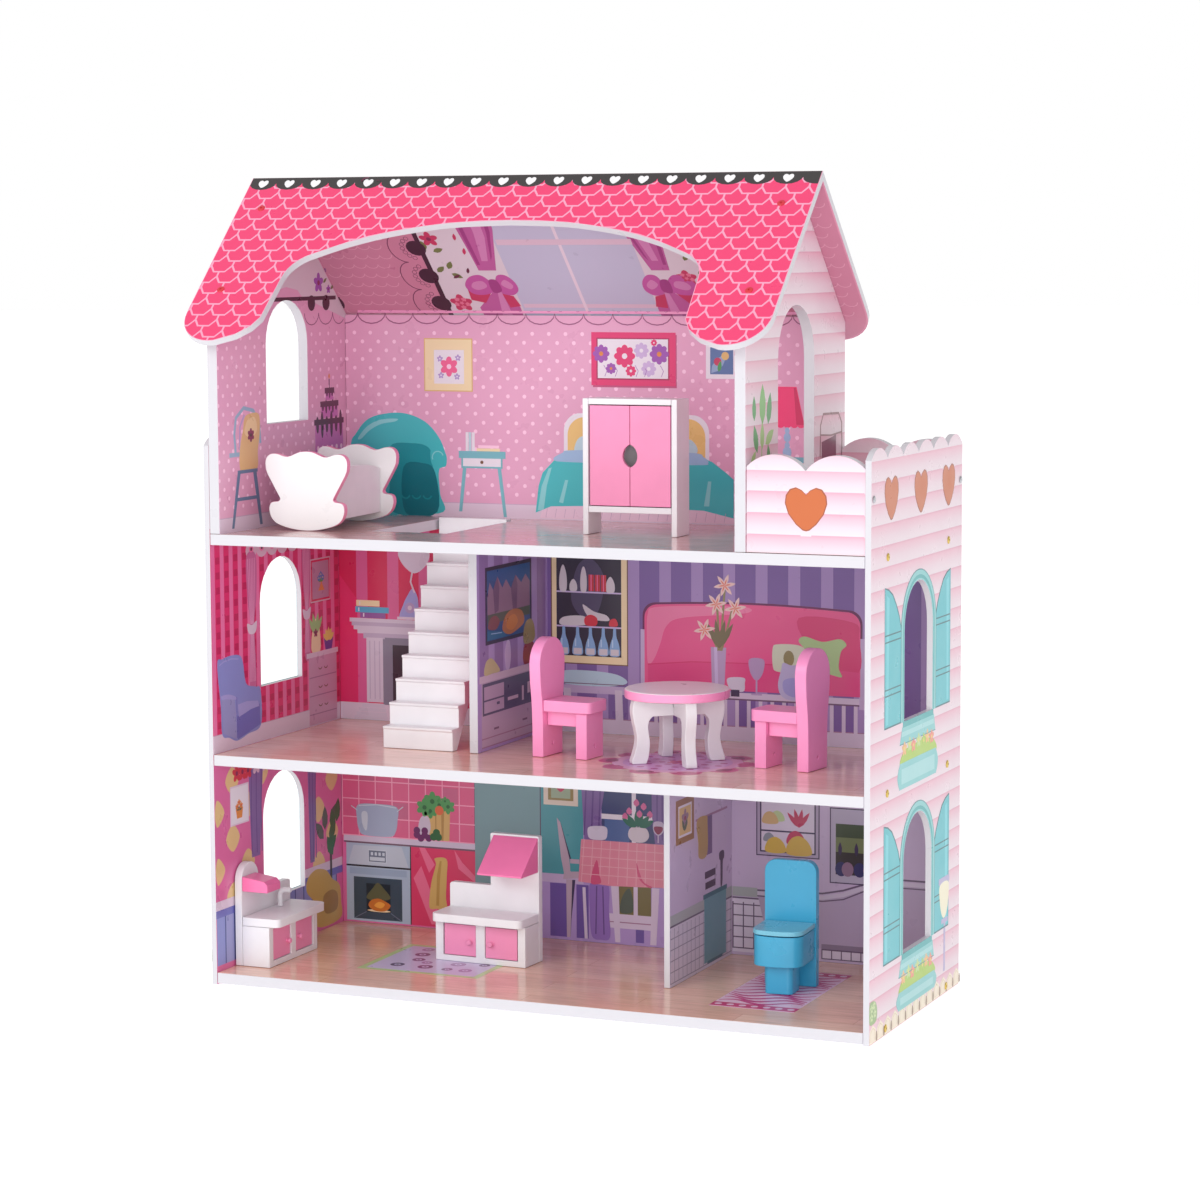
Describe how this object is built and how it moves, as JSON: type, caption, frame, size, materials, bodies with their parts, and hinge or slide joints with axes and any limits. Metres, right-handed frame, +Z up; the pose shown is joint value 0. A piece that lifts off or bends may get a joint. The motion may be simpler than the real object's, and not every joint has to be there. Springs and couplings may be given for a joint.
{
  "type": "wooden dollhouse",
  "caption": "Open-front wooden dollhouse with three storeys, a terrace, a gabled roof with an arched front, a staircase and small wooden furniture with hinged doors.",
  "frame": {"origin": "centre of the underside of the whole object's bounding box", "axes": "+Z up, -Y towards the open front, +X towards the terrace"},
  "size_m": [0.6164, 0.2878, 0.6977],
  "materials": {
    "white_board": "white painted MDF and plywood, semi-gloss",
    "printed_pink_board": "MDF with printed and varnished room decoration, white edges",
    "printed_siding_board": "MDF with printed pale pink siding, varnished, white edges",
    "plank_floor": "MDF with printed salmon-brown planks, glossy, white edges",
    "roof_board": "MDF with printed hot-pink roof scales, varnished, white edges",
    "pink_paint": "pink painted wood, semi-gloss",
    "light_pink_paint": "light pink painted wood, semi-gloss",
    "blue_paint": "bright blue painted wood, semi-gloss",
    "pale_blue_paint": "pale blue painted wood, semi-gloss",
    "silver_screw": "zinc-plated screw"
  },
  "bodies": {
    "house": {"base_floor": "plank_floor", "second_floor": "plank_floor", "third_floor": "plank_floor", "left_wall": "printed_pink_board", "right_wall": "printed_siding_board", "attic_left_wall": "printed_pink_board", "attic_right_wall": "printed_siding_board", "middle_partition": "printed_pink_board", "ground_partition": "printed_pink_board", "ground_back_panel": "printed_pink_board", "middle_back_panel": "printed_pink_board", "attic_back_panel": "printed_pink_board", "front_roof": "roof_board", "rear_roof": "roof_board", "terrace_front_parapet": "printed_siding_board", "terrace_rear_parapet": "printed_siding_board", "parapet_screw_front": "silver_screw", "parapet_screw_rear": "silver_screw", "staircase": "white_board"},
    "wardrobe": {"wardrobe_side_left": "white_board", "wardrobe_side_right": "white_board", "wardrobe_top": "white_board", "wardrobe_bottom": "white_board", "wardrobe_back": "white_board"},
    "wardrobe_left_door": {"wardrobe_door_left": "light_pink_paint"},
    "wardrobe_right_door": {"wardrobe_door_right": "light_pink_paint"},
    "stove": {"stove_cabinet": "white_board", "stove_counter": "white_board", "stove_back": "white_board", "stove_hood": "light_pink_paint"},
    "stove_left_door": {"stove_door_left": "pink_paint"},
    "stove_right_door": {"stove_door_right": "pink_paint"},
    "sink": {"sink_cabinet": "white_board", "sink_counter": "white_board", "sink_back": "white_board", "sink_dispenser": "light_pink_paint", "sink_tap": "white_board"},
    "sink_left_door": {"sink_door_left": "pink_paint"},
    "sink_right_door": {"sink_door_right": "pink_paint"},
    "toilet": {"toilet_back": "blue_paint", "toilet_bowl": "blue_paint", "toilet_pedestal": "blue_paint"},
    "toilet_cover": {"toilet_lid": "pale_blue_paint"},
    "table": {"table_top": "pink_paint", "table_legs_a": "white_board", "table_legs_b": "white_board"},
    "left_chair": {"chair_left_back": "pink_paint", "chair_left_seat": "pink_paint", "chair_left_apron": "pink_paint", "chair_left_front_leg": "pink_paint"},
    "right_chair": {"chair_right_back": "pink_paint", "chair_right_seat": "pink_paint", "chair_right_apron": "pink_paint", "chair_right_front_leg": "pink_paint"},
    "cradle": {"cradle_end_front": "white_board", "cradle_end_rear": "white_board", "cradle_side_left": "white_board", "cradle_side_right": "white_board", "cradle_bottom": "white_board"}
  },
  "joints": [
    {"name": "wardrobe_takeout", "type": "slide", "parent": "house", "child": "wardrobe", "axis": [0, -1, 0], "range_m": [0, 0.3]},
    {"name": "stove_takeout", "type": "slide", "parent": "house", "child": "stove", "axis": [0, -1, 0], "range_m": [0, 0.3]},
    {"name": "sink_takeout", "type": "slide", "parent": "house", "child": "sink", "axis": [0, -1, 0], "range_m": [0, 0.3]},
    {"name": "toilet_takeout", "type": "slide", "parent": "house", "child": "toilet", "axis": [0, -1, 0], "range_m": [0, 0.3]},
    {"name": "table_takeout", "type": "slide", "parent": "house", "child": "table", "axis": [0, -1, 0], "range_m": [0, 0.3]},
    {"name": "left_chair_takeout", "type": "slide", "parent": "house", "child": "left_chair", "axis": [0, -1, 0], "range_m": [0, 0.3]},
    {"name": "right_chair_takeout", "type": "slide", "parent": "house", "child": "right_chair", "axis": [0, -1, 0], "range_m": [0, 0.3]},
    {"name": "cradle_rocking", "type": "hinge", "parent": "house", "child": "cradle", "pos_m": [-0.22715, -0.01, 0.4684], "axis": [-0.061, 0.9981, 0], "range_deg": [-12, 12]},
    {"name": "wardrobe_left_hinge", "type": "hinge", "parent": "wardrobe", "child": "wardrobe_left_door", "pos_m": [0.02205, -0.0125, 0.4607], "axis": [0, 0, -1], "range_deg": [0, 100]},
    {"name": "wardrobe_right_hinge", "type": "hinge", "parent": "wardrobe", "child": "wardrobe_right_door", "pos_m": [0.09165, -0.0125, 0.4607], "axis": [0, 0, 1], "range_deg": [0, 100]},
    {"name": "stove_left_hinge", "type": "hinge", "parent": "stove", "child": "stove_left_door", "pos_m": [-0.12394, -0.00113, 0.03025], "axis": [0, 0, -1], "range_deg": [0, 100]},
    {"name": "stove_right_hinge", "type": "hinge", "parent": "stove", "child": "stove_right_door", "pos_m": [-0.05643, -0.00467, 0.03025], "axis": [0, 0, 1], "range_deg": [0, 100]},
    {"name": "sink_left_hinge", "type": "hinge", "parent": "sink", "child": "sink_left_door", "pos_m": [-0.25645, -0.0808, 0.03025], "axis": [0, 0, -1], "range_deg": [0, 100]},
    {"name": "sink_right_hinge", "type": "hinge", "parent": "sink", "child": "sink_right_door", "pos_m": [-0.25645, -0.0132, 0.03025], "axis": [0, 0, 1], "range_deg": [0, 100]},
    {"name": "toilet_lid_hinge", "type": "hinge", "parent": "toilet", "child": "toilet_cover", "pos_m": [0.19061, 0.01275, 0.0645], "axis": [-0.9986, -0.0523, 0], "range_deg": [0, 85]}
  ]
}
